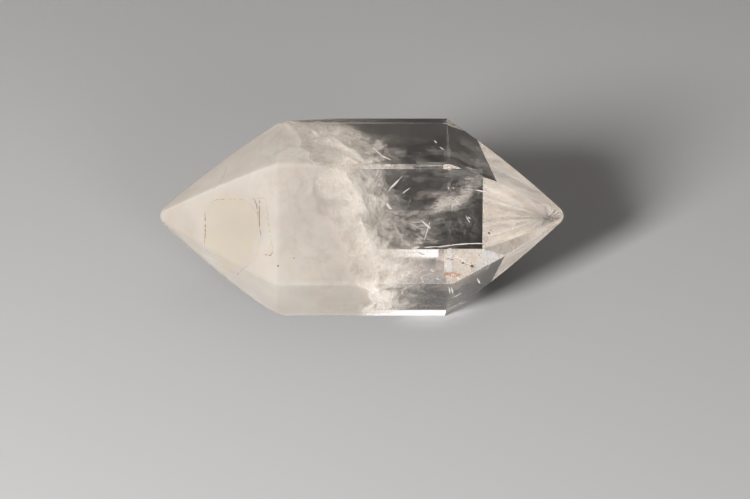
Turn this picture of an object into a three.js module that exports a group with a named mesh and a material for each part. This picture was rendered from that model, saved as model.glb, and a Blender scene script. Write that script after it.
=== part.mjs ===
// Double terminated quartz crystal, hand polished, lying on its widest side face.
// Units are millimetres, +Z is up and the long axis runs along X, with the clear point at +X.
// The stone grew as one piece, so it is one solid: six side faces, and six facets that meet in
// a point at each end. Polishing left the facets a little bulged and every edge a little round.

import * as THREE from 'three';
import { ConvexGeometry } from 'three/addons/geometries/ConvexGeometry.js';

// Driving dimensions. Every angle called turn is a direction square to X, from +Y towards +Z.
// The axis is the line between the points. A side face has its outward normal at turn.
const sideFaces = [
  { turn: 90, fromAxis: 19.9 },
  { turn: 150, fromAxis: 20.7 },
  { turn: 210, fromAxis: 23.5 },
  { turn: 270, fromAxis: 15.1 },
  { turn: 330, fromAxis: 17.2 },
  { turn: 30, fromAxis: 17.6 },
];

// An end's apex is its point before rounding. Its shoulders are where the long edges stop, in
// the order of sideFaces: each belongs to the edge between that face and the next one.
const clearEnd = {
  apex: 46.2,
  shoulders: [19.4, 19.7, 18.45, 19.2, 19.4, 19.05],
  tipRadius: 1.4,
};
const milkyEnd = {
  apex: -46.4,
  shoulders: [-18.5, -18.5, -18.9, -18.5, -18.3, -17.1],
  tipRadius: 1.75,
};

// A facet bulges by this share of its shoulder's distance from the axis, half way to the apex,
// and is cut in this many flat bands.
const facetBulge = 0.04;
const facetBands = 3;

// Flats worn across the highest and the lowest long edge near the milky end. Each passes
// through along (on X) and fromAxis, and leans back towards the milky point by lean degrees.
const wornFlats = [
  { turn: 60, along: -15.1, fromAxis: 21.1, lean: 11.5 },
  { turn: 60, along: -15.1, fromAxis: 21.1, lean: 3 },
  { turn: 240, along: -18.6, fromAxis: 21.8, lean: 29.5 },
  { turn: 240, along: -18.6, fromAxis: 21.8, lean: 11.5 },
];

// Rounding of the edges and of the points, each rounded corner being this many flats across.
const edgeRadius = 0.4;
const edgeSteps = 2;
const tipSteps = 5;

const quartzColour = 0xe4dace;
const polishRoughness = 0.08;

// Three planes whose normals fill less than leastCrossing never meet in a point. Corners within
// touching of each other are one corner. Points on the rounding are at least apart from each other.
const leastCrossing = 1e-4;
const touching = 1e-6;
const apart = 0.03;

function across(turn) {
  const angle = THREE.MathUtils.degToRad(turn);
  return new THREE.Vector3(0, Math.cos(angle), Math.sin(angle));
}

// The one point that three planes share, or null.
function crossing(first, second, third) {
  const secondThird = second.normal.clone().cross(third.normal);
  const spread = first.normal.dot(secondThird);
  if (Math.abs(spread) < leastCrossing) {
    return null;
  }
  const thirdFirst = third.normal.clone().cross(first.normal);
  const firstSecond = first.normal.clone().cross(second.normal);
  return secondThird
    .multiplyScalar(-first.constant)
    .addScaledVector(thirdFirst, -second.constant)
    .addScaledVector(firstSecond, -third.constant)
    .divideScalar(spread);
}

const sidePlanes = sideFaces.map(({ turn, fromAxis }) => new THREE.Plane(across(turn), -fromAxis));

// Where each long edge crosses the plane X = 0.
const crossSection = new THREE.Plane(new THREE.Vector3(1, 0, 0), 0);
const edgeFeet = sidePlanes.map((plane, side) => (
  crossing(plane, sidePlanes[(side + 1) % sidePlanes.length], crossSection)
));

// Distance from the axis, as a share of the shoulder's, at a share of the way to the apex.
function facetProfile(share) {
  return 1 - share + 4 * facetBulge * share * (1 - share);
}

// A point on the slanting edge that runs from one long edge's shoulder to the apex.
function slantPoint(end, edge, share) {
  const point = edgeFeet[edge].clone().multiplyScalar(facetProfile(share));
  point.x = THREE.MathUtils.lerp(end.shoulders[edge], end.apex, share);
  return point;
}

// The flat bands of the six facets at one end, facing out, the last of each marked as atTip.
function endPlanes(end) {
  const planes = [];
  for (let edge = 0; edge < edgeFeet.length; edge += 1) {
    const nextEdge = (edge + 1) % edgeFeet.length;
    for (let band = 0; band < facetBands; band += 1) {
      const low = band / facetBands;
      const high = (band + 1) / facetBands;
      const plane = new THREE.Plane().setFromCoplanarPoints(
        slantPoint(end, edge, low),
        slantPoint(end, nextEdge, low),
        slantPoint(end, edge, high).lerp(slantPoint(end, nextEdge, high), 0.5),
      );
      if (plane.constant > 0) {
        plane.negate();
      }
      plane.atTip = band === facetBands - 1;
      planes.push(plane);
    }
  }
  return planes;
}

function wornPlane({ turn, along, fromAxis, lean }) {
  const leanAngle = THREE.MathUtils.degToRad(lean);
  const normal = across(turn).multiplyScalar(Math.cos(leanAngle));
  normal.x = -Math.sin(leanAngle);
  const point = across(turn).multiplyScalar(fromAxis);
  point.x = along;
  return new THREE.Plane().setFromNormalAndCoplanarPoint(normal, point);
}

const stonePlanes = [
  ...sidePlanes,
  ...wornFlats.map(wornPlane),
  ...endPlanes(clearEnd),
  ...endPlanes(milkyEnd),
];

// Corners of the shape a distance inside all the stone's planes, with the planes that meet there.
function innerCorners(distance) {
  const inset = stonePlanes.map((plane) => {
    const moved = plane.clone();
    moved.constant += distance;
    moved.atTip = plane.atTip;
    return moved;
  });
  const corners = [];
  for (let first = 0; first < inset.length; first += 1) {
    for (let second = first + 1; second < inset.length; second += 1) {
      for (let third = second + 1; third < inset.length; third += 1) {
        const point = crossing(inset[first], inset[second], inset[third]);
        const inside = point && inset.every((plane) => plane.distanceToPoint(point) < touching);
        if (inside && !corners.some((corner) => corner.point.distanceTo(point) < touching)) {
          const meeting = inset.filter((plane) => plane.distanceToPoint(point) > -touching);
          corners.push({ point, meeting });
        }
      }
    }
  }
  return corners;
}

// Points over the part of a ball that lies between the planes it touches.
function ballPoints({ point, meeting }, radius, steps) {
  const points = [];
  for (const first of meeting) {
    for (const second of meeting) {
      for (const third of meeting) {
        for (let firstShare = 0; firstShare <= steps; firstShare += 1) {
          for (let secondShare = 0; firstShare + secondShare <= steps; secondShare += 1) {
            const direction = new THREE.Vector3()
              .addScaledVector(first.normal, firstShare)
              .addScaledVector(second.normal, secondShare)
              .addScaledVector(third.normal, steps - firstShare - secondShare)
              .normalize();
            points.push(direction.multiplyScalar(radius).add(point));
          }
        }
      }
    }
  }
  return points;
}

// The points, leaving out any that lies too close to an earlier one.
function thinned(points) {
  const kept = [];
  for (const point of points) {
    if (kept.every((other) => other.distanceTo(point) > apart)) {
      kept.push(point);
    }
  }
  return kept;
}

// The stone is the hull of small balls in all its corners but the two points, and of larger balls
// in those, so every side face and facet stays flat in its own plane.
const isTip = ({ meeting }) => meeting.every((plane) => plane.atTip);
const surface = innerCorners(edgeRadius)
  .filter((corner) => !isTip(corner))
  .flatMap((corner) => ballPoints(corner, edgeRadius, edgeSteps));
for (const { apex, tipRadius } of [clearEnd, milkyEnd]) {
  const tipCorners = innerCorners(tipRadius)
    .filter((corner) => isTip(corner) && corner.point.x * apex > 0);
  surface.push(...tipCorners.flatMap((corner) => ballPoints(corner, tipRadius, tipSteps)));
}

// The origin is under the middle of the stone's box, on the surface that it lies on.
const stone = new ConvexGeometry(thinned(surface));
stone.computeBoundingBox();
const middle = stone.boundingBox.getCenter(new THREE.Vector3());
stone.translate(-middle.x, -middle.y, -stone.boundingBox.min.z);

const crystal = new THREE.Mesh(
  stone,
  new THREE.MeshStandardMaterial({ color: quartzColour, roughness: polishRoughness, metalness: 0 }),
);
crystal.name = 'quartz_crystal';

const part = new THREE.Group();
part.add(crystal);

export default part;
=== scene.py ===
"""Looks of a double terminated quartz crystal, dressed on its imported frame.

Lengths are metres and +Z is up. The crystal's long axis runs along X, its clear point at +X, and
the camera stands on the -Y side. Angles called turn are square to X, from +Y towards +Z. An azimuth
runs from the camera's side towards +X, and an elevation upwards.
"""

import logging
import math
from collections.abc import Callable, Sequence
from dataclasses import dataclass, field
from enum import Enum

import bmesh
import bpy
import numpy as np
from bpy.types import Collection, Material, Object
from mathutils import Matrix, Vector, noise


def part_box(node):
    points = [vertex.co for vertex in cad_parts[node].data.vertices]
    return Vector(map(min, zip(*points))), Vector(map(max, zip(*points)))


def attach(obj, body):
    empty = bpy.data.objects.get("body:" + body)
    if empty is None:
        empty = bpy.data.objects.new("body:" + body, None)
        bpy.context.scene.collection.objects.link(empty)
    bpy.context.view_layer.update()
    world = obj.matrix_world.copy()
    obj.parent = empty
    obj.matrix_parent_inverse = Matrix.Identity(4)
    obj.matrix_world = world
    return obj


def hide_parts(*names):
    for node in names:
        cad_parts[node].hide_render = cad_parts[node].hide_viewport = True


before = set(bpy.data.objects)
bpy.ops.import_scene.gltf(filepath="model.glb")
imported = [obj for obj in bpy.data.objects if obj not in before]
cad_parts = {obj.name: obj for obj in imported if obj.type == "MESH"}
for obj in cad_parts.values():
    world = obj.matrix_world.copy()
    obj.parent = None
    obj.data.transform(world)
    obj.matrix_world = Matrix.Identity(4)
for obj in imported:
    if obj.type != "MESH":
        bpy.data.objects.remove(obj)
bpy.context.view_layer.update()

MM = 0.001
STONE_NODE = "quartz_crystal"
ROOT_BODY = "root"
SEED = 20
QUARTZ_REFRACTION = 1.544
FLAKE_REACH = (0.35, 0.8)
FLAKE_SKEW = 0.5

Colour = tuple[float, float, float, float]

log = logging.getLogger("quartz")


def across(turn: float) -> Vector:
    """Returns the direction square to X at a turn in degrees from +Y towards +Z."""
    return Vector((0.0, math.cos(math.radians(turn)), math.sin(math.radians(turn))))


def towards(azimuth: float, elevation: float) -> Vector:
    """Returns the direction at an azimuth and an elevation in degrees."""
    turn, rise = math.radians(azimuth), math.radians(elevation)
    return Vector((math.sin(turn) * math.cos(rise), -math.cos(turn) * math.cos(rise), math.sin(rise)))


@dataclass(frozen=True)
class SideFace:
    """A side face, by the turn of its outward normal and its distance from the axis."""

    turn: float
    from_axis: float


@dataclass(frozen=True)
class StoneEnd:
    """A pointed end: its apex before rounding, its round tip, and where each long edge stops."""

    apex: float
    tip: float
    shoulders: tuple[float, ...]


@dataclass(frozen=True)
class WornFlat:
    """A flat worn across a long edge, leaning back towards the milky point."""

    turn: float
    along: float
    from_axis: float
    lean: float


@dataclass(frozen=True)
class StoneForm:
    """The crystal's outer shape, about the line between its points.

    A shoulder belongs to the long edge between one side face and the next in the list.
    """

    side_faces: tuple[SideFace, ...] = (
        SideFace(90, 19.9 * MM),
        SideFace(150, 20.7 * MM),
        SideFace(210, 23.5 * MM),
        SideFace(270, 15.1 * MM),
        SideFace(330, 17.2 * MM),
        SideFace(30, 17.6 * MM),
    )
    clear_end: StoneEnd = StoneEnd(
        46.2 * MM,
        45.15 * MM,
        (19.4 * MM, 19.7 * MM, 18.45 * MM, 19.2 * MM, 19.4 * MM, 19.05 * MM),
    )
    milky_end: StoneEnd = StoneEnd(
        -46.4 * MM,
        -45.01 * MM,
        (-18.5 * MM, -18.5 * MM, -18.9 * MM, -18.5 * MM, -18.3 * MM, -17.1 * MM),
    )
    worn_flats: tuple[WornFlat, ...] = (
        WornFlat(60, -15.1 * MM, 21.1 * MM, 11.5),
        WornFlat(60, -15.1 * MM, 21.1 * MM, 3),
        WornFlat(240, -18.6 * MM, 21.8 * MM, 29.5),
        WornFlat(240, -18.6 * MM, 21.8 * MM, 11.5),
    )
    facet_bulge: float = 0.04
    edge_round: float = 0.16 * MM
    resting_turn: float = 270

    @property
    def ends(self) -> tuple[StoneEnd, StoneEnd]:
        """Both ends, the milky one first."""
        return self.milky_end, self.clear_end

    def edge_foot(self, edge: int) -> Vector:
        """Returns where a long edge crosses the plane through the axis origin.

        Args:
            edge: Index of the edge, which lies between side face edge and the next one.

        Returns:
            A point with X zero, about the axis.
        """
        first = self.side_faces[edge]
        second = self.side_faces[(edge + 1) % len(self.side_faces)]
        normals = Matrix((across(first.turn).yz, across(second.turn).yz))
        foot = normals.inverted() @ Vector((first.from_axis, second.from_axis))
        return Vector((0.0, foot.x, foot.y))

    def profile(self, share: float) -> float:
        """Returns a facet's distance from the axis, as a share of its shoulder's, part way to the apex."""
        return 1.0 - share + 4.0 * self.facet_bulge * share * (1.0 - share)

    def axis_place(self) -> Vector:
        """Finds where the axis origin stands in the row frame, with the stone centred on its box.

        Returns:
            The place.
        """
        feet = [self.edge_foot(edge).y for edge in range(len(self.side_faces))]
        base = next(face for face in self.side_faces if face.turn == self.resting_turn)
        low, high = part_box(STONE_NODE)
        middle = (low.x + high.x - self.clear_end.tip - self.milky_end.tip) / 2
        return Vector((middle, -(min(feet) + max(feet)) / 2, base.from_axis))

    def planes(self) -> tuple[np.ndarray, np.ndarray]:
        """Works out flat faces that lie on or just inside the surface.

        Returns:
            Their outward normals, one row each, and their distances from the row's origin.
        """
        origin = self.axis_place()
        normals, distances = [], []
        for face in self.side_faces:
            normal = across(face.turn)
            normals.append(normal)
            distances.append(face.from_axis + normal.dot(origin))
        for end in self.ends:
            for edge in range(len(self.side_faces)):
                after = (edge + 1) % len(self.side_faces)
                low = self.edge_foot(edge) + Vector((end.shoulders[edge], 0, 0))
                high = self.edge_foot(after) + Vector((end.shoulders[after], 0, 0))
                apex = Vector((end.apex, 0, 0))
                normal = (high - low).cross(apex - low).normalized()
                normal *= math.copysign(1.0, normal.dot(low))
                normals.append(normal)
                distances.append(normal.dot(low + origin))
        return np.array(normals), np.array(distances)


class Wire:
    """A shader value that takes part in Python expressions, each operator adding a Math node."""

    def __init__(self, sheet: "ShaderSheet", socket: bpy.types.NodeSocket) -> None:
        """Wraps one output socket of a sheet's node."""
        self.sheet = sheet
        self.socket = socket

    def __add__(self, other: "Wire | float") -> "Wire":
        """Returns the sum."""
        return self.sheet.maths("ADD", self, other)

    __radd__ = __add__

    def __sub__(self, other: "Wire | float") -> "Wire":
        """Returns the difference."""
        return self.sheet.maths("SUBTRACT", self, other)

    def __rsub__(self, other: "Wire | float") -> "Wire":
        """Returns the difference from a number."""
        return self.sheet.maths("SUBTRACT", other, self)

    def __mul__(self, other: "Wire | float") -> "Wire":
        """Returns the product."""
        return self.sheet.maths("MULTIPLY", self, other)

    __rmul__ = __mul__

    def __truediv__(self, other: "Wire | float") -> "Wire":
        """Returns the quotient."""
        return self.sheet.maths("DIVIDE", self, other)

    def __pow__(self, other: "Wire | float") -> "Wire":
        """Returns the power."""
        return self.sheet.maths("POWER", self, other)

    def __abs__(self) -> "Wire":
        """Returns the value without its sign."""
        return self.sheet.maths("ABSOLUTE", self)

    def clipped(self) -> "Wire":
        """Returns the value held between 0 and 1."""
        return self.sheet.maths("ADD", self, 0.0, clamp=True)


class ShaderSheet:
    """The node tree of one material."""

    def __init__(self, name: str) -> None:
        """Starts an empty material.

        Args:
            name: The material's name.
        """
        self.material = bpy.data.materials.new(name)
        self.material.use_nodes = True
        self.tree = self.material.node_tree
        self.tree.nodes.clear()

    def node(self, kind: str, settings: dict | None = None, inputs: dict | None = None) -> bpy.types.Node:
        """Adds a node.

        Args:
            kind: The node's Blender type.
            settings: Its properties, set first. Stops is a ramp's list of places and colours.
            inputs: Values or wires of its input sockets, by name or index.

        Returns:
            The new node.
        """
        made = self.tree.nodes.new(kind)
        for name, value in (settings or {}).items():
            if name == "stops":
                self._set_stops(made.color_ramp, value)
            else:
                setattr(made, name, value)
        for name, value in (inputs or {}).items():
            self.feed(made.inputs[name], value)
        return made

    def _set_stops(self, ramp: bpy.types.ColorRamp, stops: Sequence[tuple[float, tuple]]) -> None:
        """Gives a colour ramp its stops.

        Args:
            ramp: The ramp.
            stops: Their places and colours, in order of place.
        """
        while len(ramp.elements) < len(stops):
            ramp.elements.new(1.0)
        for element, (place, colour) in zip(ramp.elements, stops):
            element.position = place
            element.color = colour

    def feed(self, socket: bpy.types.NodeSocket, value: "Wire | float | Sequence") -> None:
        """Links a wire to a socket, or sets the socket's own value.

        Args:
            socket: The input socket.
            value: The wire or value.
        """
        if isinstance(value, Wire):
            self.tree.links.new(value.socket, socket)
        else:
            socket.default_value = value

    def wire(self, node: bpy.types.Node, output: str | int = 0) -> Wire:
        """Returns one output of a node as a wire."""
        return Wire(self, node.outputs[output])

    def maths(self, operation: str, *values: "Wire | float", clamp: bool = False) -> Wire:
        """Returns the result of a Math node on the values."""
        settings = {"operation": operation, "use_clamp": clamp}
        return self.wire(self.node("ShaderNodeMath", settings, dict(enumerate(values))))

    def place(self) -> Wire:
        """Returns the shaded point's place on its object's own axes."""
        return self.wire(self.node("ShaderNodeTexCoord"), "Object")

    def parts(self, vector: Wire) -> tuple[Wire, Wire, Wire]:
        """Returns a vector's X, Y and Z."""
        split = self.node("ShaderNodeSeparateXYZ", inputs={"Vector": vector})
        return self.wire(split, "X"), self.wire(split, "Y"), self.wire(split, "Z")

    def stretched(self, place: Wire, rotation: tuple, scale: tuple) -> Wire:
        """Returns a place that is scaled and turned, to draw a pattern out."""
        inputs = {"Vector": place, "Rotation": rotation, "Scale": scale}
        return self.wire(self.node("ShaderNodeMapping", inputs=inputs))

    def clouds(
        self, place: Wire, scale: float, detail: float, roughness: float = 0.5, distortion: float = 0.0
    ) -> Wire:
        """Adds noise that varies with the place.

        Args:
            place: The place.
            scale: About how many clouds there are in a metre.
            detail: How many finer layers there are.
            roughness: How strong the finer layers are.
            distortion: How much the clouds are swirled.

        Returns:
            A value that wanders about 0.5.
        """
        return self.wire(self.node("ShaderNodeTexNoise", inputs={
            "Vector": place,
            "Scale": scale,
            "Detail": detail,
            "Roughness": roughness,
            "Distortion": distortion,
        }))

    def tones(self, value: Wire, stops: Sequence[tuple[float, tuple]]) -> Wire:
        """Returns the colour that a ramp's stops give a value."""
        return self.wire(self.node("ShaderNodeValToRGB", {"stops": stops}, {"Fac": value}))

    def mixed(self, share: Wire, first: "Wire | tuple", second: "Wire | tuple") -> Wire:
        """Returns the first colour with a share of the second over it."""
        mix = self.node("ShaderNodeMix", {"data_type": "RGBA"}, {0: share, 6: first, 7: second})
        return self.wire(mix, 2)

    def matt(
        self, colour: "Wire | tuple", roughness: float, shine: float, more: dict | None = None
    ) -> Material:
        """Finishes the sheet with an unpolished surface, given the shader's other inputs by name."""
        inputs = {"Base Color": colour, "Roughness": roughness, "Specular IOR Level": shine} | (more or {})
        return self.finish(self.wire(self.node("ShaderNodeBsdfPrincipled", inputs=inputs)))

    def finish(self, surface: Wire, volume: Wire | None = None) -> Material:
        """Wires the material's output.

        Args:
            surface: The surface shader.
            volume: The volume shader, if there is one.

        Returns:
            The material.
        """
        inputs = {"Surface": surface} | ({"Volume": volume} if volume else {})
        self.node("ShaderNodeOutputMaterial", inputs=inputs)
        return self.material


@dataclass(frozen=True)
class PolishedQuartz:
    """Clear polished quartz, with a faint hand-polished waviness."""

    refraction: float = QUARTZ_REFRACTION
    roughness: float = 0.012
    tint: Colour = (0.95, 0.9, 0.84, 1.0)
    tint_density: float = 1.0
    wave_scale: float = 170.0
    wave_height: float = 0.02 * MM
    wave_strength: float = 0.25

    def material(self) -> Material:
        """Mixes the clear stone's material.

        Returns:
            The material.
        """
        sheet = ShaderSheet("polished_quartz")
        bump = sheet.node("ShaderNodeBump", inputs={
            "Height": sheet.clouds(sheet.place(), self.wave_scale, detail=1.0),
            "Strength": self.wave_strength,
            "Distance": self.wave_height,
        })
        surface = sheet.node("ShaderNodeBsdfPrincipled", inputs={
            "Base Color": (1.0, 1.0, 1.0, 1.0),
            "Roughness": self.roughness,
            "IOR": self.refraction,
            "Transmission Weight": 1.0,
            "Normal": sheet.wire(bump),
        })
        tint = sheet.node("ShaderNodeVolumeAbsorption", inputs={
            "Color": self.tint,
            "Density": self.tint_density,
        })
        return sheet.finish(sheet.wire(surface), sheet.wire(tint))


def past_edge(sheet: ShaderSheet, place: Wire, edge: "CloudEdge") -> Wire:
    """Measures how far a shaded point lies past the milky part's edge.

    Args:
        sheet: The material's sheet.
        place: The shaded point.
        edge: The milky part's edge.

    Returns:
        The distance along X, negative on the milky side.
    """
    point, normal = edge.plane(0.0)
    square = sheet.node("ShaderNodeVectorMath", {"operation": "DOT_PRODUCT"}, {
        0: place,
        1: tuple(normal / normal.x),
    })
    return sheet.wire(square, "Value") - point.dot(normal) / normal.x


@dataclass(frozen=True)
class HealedTint:
    """A pale yellowish patch of the milk, under a healed crack, with the outline of a shield."""

    up: Vector
    middle_along: float = -28.8 * MM
    middle_up: float = 10.3 * MM
    half_width: float = 6.3 * MM
    half_height: float = 8.3 * MM
    narrowing: float = 0.45
    colour: Colour = (0.8, 0.74, 0.61, 1.0)
    strength: float = 0.45
    squareness: float = 3.0
    sharpness: float = 6.0

    def share(self, sheet: ShaderSheet, place: Wire) -> Wire:
        """Finds how much of the patch's colour a shaded point has.

        Args:
            sheet: The milk's sheet.
            place: The shaded point.

        Returns:
            The share, which is 0 outside the patch and on the stone's far side.
        """
        along, depth, height = sheet.parts(place)
        sideways = abs((along - self.middle_along) / self.half_width)
        upward = (depth * self.up.y + height * self.up.z - self.middle_up) / self.half_height
        width = sheet.maths("MINIMUM", upward, 0.0) * self.narrowing + 1.0
        reach = (sideways / width) ** self.squareness + abs(upward) ** self.squareness
        inside = ((1.0 - reach) * self.sharpness).clipped()
        return inside * sheet.maths("LESS_THAN", depth, 0.0) * self.strength


@dataclass(frozen=True)
class Milk:
    """The dense milky quartz: warm white, slowly changing in tone, and darker near the clear part."""

    edge: "CloudEdge"
    tint: HealedTint
    pale: Colour = (0.86, 0.82, 0.77, 1.0)
    shaded: Colour = (0.76, 0.71, 0.66, 1.0)
    thin: Colour = (0.62, 0.57, 0.53, 1.0)
    thin_from: float = -24 * MM
    thin_to: float = -6 * MM
    cloud_scale: float = 90.0
    cloud_drift: float = 14 * MM
    tone_span: tuple[float, float] = (0.35, 0.65)
    wisp_scale: float = 260.0
    wisp_level: float = 0.44
    wisp_contrast: float = 4.5
    light_depth: float = 3.0 * MM
    light_spread: tuple[float, float, float] = (1.0, 0.85, 0.7)

    def material(self) -> Material:
        """Mixes the milky core's material.

        Returns:
            The material.
        """
        sheet = ShaderSheet("milky_quartz")
        place = sheet.place()
        cloud = sheet.clouds(place, self.cloud_scale, detail=4.0)
        tone = sheet.tones(cloud, tuple(zip(self.tone_span, (self.shaded, self.pale))))
        tinted = sheet.mixed(self.tint.share(sheet, place), tone, self.tint.colour)
        torn = past_edge(sheet, place, self.edge) + (cloud - 0.5) * self.cloud_drift
        thinning = ((torn - self.thin_from) / (self.thin_to - self.thin_from)).clipped()
        wisps = sheet.clouds(place, self.wisp_scale, detail=9.0, roughness=0.68, distortion=0.7)
        gaps = ((wisps - self.wisp_level) * self.wisp_contrast).clipped() * thinning
        tone = sheet.mixed(gaps, tinted, self.thin)
        return sheet.matt(tone, roughness=0.9, shine=0.0, more={
            "Subsurface Weight": 1.0,
            "Subsurface Radius": self.light_spread,
            "Subsurface Scale": self.light_depth,
        })


@dataclass(frozen=True)
class CloudFilm:
    """Milky haze on a thin surface, thinning out past the edge of the milky part."""

    name: str
    edge: "CloudEdge"
    start: float
    thin_from: float
    thin_to: float
    cover: float
    onset: float = 6 * MM
    wisp_scale: float = 260.0
    wisp_level: float = 0.62
    milk_share: float = 0.34
    contrast: float = 4.5
    colour: Colour = (0.86, 0.82, 0.77, 1.0)

    def material(self) -> Material:
        """Mixes the film's material.

        Returns:
            The material.
        """
        sheet = ShaderSheet(self.name)
        place = sheet.place()
        past = past_edge(sheet, place, self.edge)
        milk = 1.0 - ((past - self.thin_from) / (self.thin_to - self.thin_from)).clipped()
        started = ((past - self.start) / self.onset).clipped()
        wisps = sheet.clouds(place, self.wisp_scale, detail=7.0, roughness=0.62, distortion=0.7)
        cover = ((wisps - self.wisp_level + milk * self.milk_share) * self.contrast).clipped() * started
        return sheet.matt(self.colour, roughness=0.9, shine=0.0, more={"Alpha": cover * self.cover})


@dataclass(frozen=True)
class VeilFilm:
    """A healed crack's film of tiny bubbles: streaked, and fading out at the veil's rim."""

    name: str
    colour: Colour
    cover: float
    gap: float
    streak_scale: float = 420.0
    patch_scale: float = 150.0
    fibre_scale: float = 1680.0
    fibre_level: float = 0.36
    rim_fade: float = 3.2
    streak_share: float = 0.6
    patch_share: float = 0.5
    gap_contrast: float = 5.0
    fibre_contrast: float = 4.5

    def material(self) -> Material:
        """Mixes the veil's material.

        Returns:
            The material.
        """
        sheet = ShaderSheet(self.name)
        place = sheet.place()
        along, over, _ = sheet.parts(sheet.wire(sheet.node("ShaderNodeTexCoord"), "UV"))
        along, over = along - 0.5, over - 0.5
        reach = sheet.maths("SQRT", along * along + over * over)
        drawn_out = sheet.stretched(place, rotation=(0.0, 0.6, 0.0), scale=(0.45, 1.0, 1.5))
        streaks = sheet.clouds(drawn_out, self.streak_scale, 8.0, roughness=0.65, distortion=0.5)
        patches = sheet.clouds(place, self.patch_scale, detail=2.0)
        fine = sheet.stretched(place, rotation=(0.0, 0.5, 0.3), scale=(0.22, 1.0, 1.3))
        fibres = sheet.clouds(fine, self.fibre_scale, 5.0, roughness=0.7, distortion=0.8)
        level = streaks * self.streak_share + patches * self.patch_share
        gaps = ((level - self.gap) * self.gap_contrast).clipped()
        cover = gaps * ((fibres - self.fibre_level) * self.fibre_contrast).clipped()
        rim = ((0.5 - reach) * self.rim_fade).clipped()
        alpha = cover * rim * self.cover
        return sheet.matt(self.colour, roughness=0.8, shine=0.1, more={"Alpha": alpha})


@dataclass(frozen=True)
class InclusionAndGlintFinish:
    """The matt colour of a small inclusion, a little uneven; the painted highlights among the glints use it
    too.
    """

    name: str
    colour: Colour
    other: Colour
    patch_scale: float
    cover: float = 1.0
    breaks: float = 0.0
    break_contrast: float = 9.0
    tone_span: tuple[float, float] = (0.4, 0.6)

    def material(self) -> Material:
        """Mixes the inclusion's material.

        Returns:
            The material.
        """
        sheet = ShaderSheet(self.name)
        patches = sheet.clouds(sheet.place(), self.patch_scale, detail=3.0)
        tone = sheet.tones(patches, tuple(zip(self.tone_span, (self.colour, self.other))))
        more = {}
        if self.breaks:
            whole = ((patches - self.breaks) * self.break_contrast).clipped()
            more = {"Alpha": whole * self.cover}
        return sheet.matt(tone, roughness=0.7, shine=0.2, more=more)


@dataclass(frozen=True)
class PlainMatt:
    """One even matt colour."""

    name: str
    colour: Colour
    roughness: float

    def material(self) -> Material:
        """Returns the material."""
        return ShaderSheet(self.name).matt(self.colour, self.roughness, shine=0.1)


class Workpiece:
    """One mesh under Blender's own operators, in edit mode until it is closed or finished."""

    def __init__(self, name: str) -> None:
        """Takes the object that the last operator added, and opens it.

        Args:
            name: The name that the object gets.
        """
        self.obj = bpy.context.active_object
        self.obj.name = name
        self.obj.data.name = name
        bpy.ops.object.transform_apply(location=True, rotation=True, scale=True)
        bpy.ops.object.mode_set(mode="EDIT")
        bpy.ops.mesh.select_mode(type="VERT")

    def select_points(self, wanted: Callable[[Vector], bool]) -> None:
        """Selects the vertices whose place is wanted, and nothing else.

        Args:
            wanted: Tells whether a place is wanted.
        """
        bpy.ops.mesh.select_mode(type="VERT")
        bpy.ops.mesh.select_all(action="DESELECT")
        shape = bmesh.from_edit_mesh(self.obj.data)
        for vertex in shape.verts:
            vertex.select_set(wanted(vertex.co))
        shape.select_flush_mode()
        bmesh.update_edit_mesh(self.obj.data)

    def select_faces(self, wanted: Callable[[bmesh.types.BMFace], bool]) -> None:
        """Selects the wanted faces, and nothing else.

        Args:
            wanted: Tells whether a face is wanted.
        """
        bpy.ops.mesh.select_mode(type="FACE")
        bpy.ops.mesh.select_all(action="DESELECT")
        shape = bmesh.from_edit_mesh(self.obj.data)
        shape.normal_update()
        for face in shape.faces:
            face.select_set(wanted(face))
        bmesh.update_edit_mesh(self.obj.data)

    def move_points(self, moved: Callable[[Vector], Vector]) -> None:
        """Moves every vertex.

        Args:
            moved: Gives the new place of a vertex from its place.
        """
        shape = bmesh.from_edit_mesh(self.obj.data)
        for vertex in shape.verts:
            vertex.co = moved(vertex.co)
        bmesh.update_edit_mesh(self.obj.data)

    def extrude_cap(self, scale: tuple[float, float, float], centre: Vector, move: Vector) -> None:
        """Extrudes the selected cap into a narrower one.

        Args:
            scale: How much narrower the new cap is, about the centre.
            centre: The centre.
            move: How far the new cap then moves.
        """
        bpy.ops.mesh.extrude_region_move(TRANSFORM_OT_translate={"value": (0.0, 0.0, 0.0)})
        bpy.ops.transform.resize(value=scale, center_override=centre)
        bpy.ops.transform.translate(value=move)

    def cut(self, point: Vector, normal: Vector, **sides: bool) -> None:
        """Cuts the whole piece along a plane, with the cut's sides cleared or filled as named."""
        bpy.ops.mesh.select_all(action="SELECT")
        bpy.ops.mesh.bisect(plane_co=point, plane_no=normal, **sides)

    def close(self) -> Object:
        """Goes back to object mode and returns the object."""
        bpy.ops.object.mode_set(mode="OBJECT")
        return self.obj

    def finish(self, material: Material) -> Object:
        """Closes the piece and dresses it.

        Args:
            material: Its material.

        Returns:
            The object, riding on the root body.
        """
        self.close()
        self.obj.data.materials.append(material)
        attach(self.obj, ROOT_BODY)
        return self.obj

    def apply(self, kind: str, **settings: object) -> None:
        """Adds a modifier and applies it.

        Args:
            kind: The modifier's Blender type.
            settings: Its settings.
        """
        modifier = self.obj.modifiers.new(kind.lower(), kind)
        for name, value in settings.items():
            setattr(modifier, name, value)
        bpy.ops.object.modifier_apply(modifier=modifier.name)


def clear_selection() -> None:
    """Leaves object mode with nothing selected."""
    if bpy.context.mode != "OBJECT":
        bpy.ops.object.mode_set(mode="OBJECT")
    bpy.ops.object.select_all(action="DESELECT")


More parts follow.
